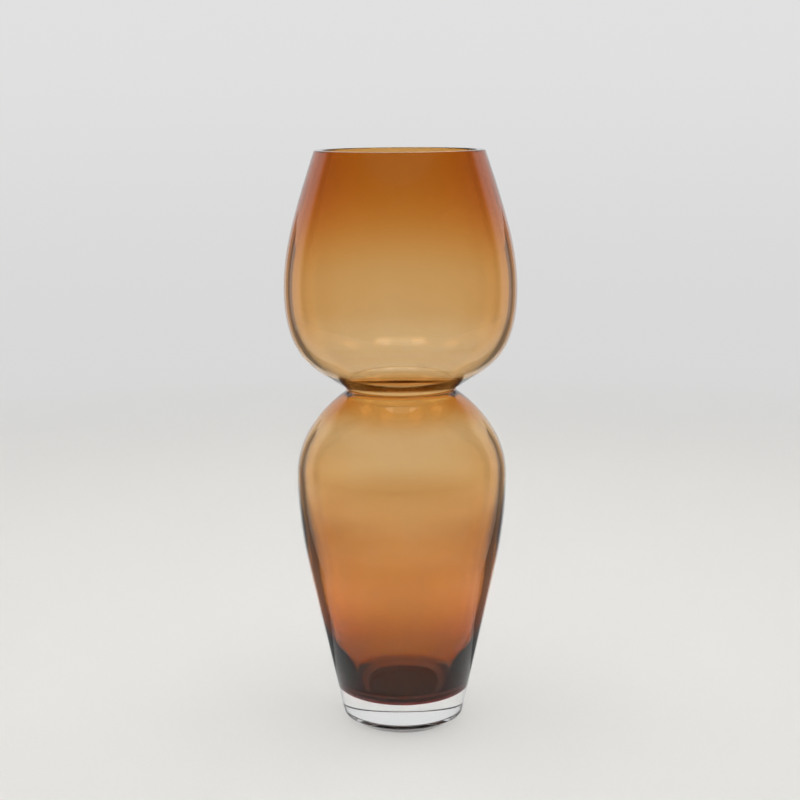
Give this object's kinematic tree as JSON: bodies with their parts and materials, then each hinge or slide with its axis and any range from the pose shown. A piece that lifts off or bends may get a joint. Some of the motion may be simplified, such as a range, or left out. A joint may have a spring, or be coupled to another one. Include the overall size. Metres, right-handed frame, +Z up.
{
  "type": "gourd vase",
  "caption": "Tall double-bulb glass vase with an open mouth, a tight waist and a heavy clear base; amber lining in a clear casing, for cut flowers.",
  "frame": {"origin": "centre of the foot ring, on the table", "axes": "+Z up along the vase's axis, from the foot to the mouth; X and Y are alike"},
  "size_m": [0.1588, 0.1588, 0.4],
  "materials": {
    "clear_glass": "gloss",
    "amber_glass": "gloss"
  },
  "bodies": {
    "root": {"upper_casing": "clear_glass", "upper_lining": "amber_glass", "lower_casing": "clear_glass", "lower_lining": "amber_glass", "base": "clear_glass"}
  },
  "joints": []
}
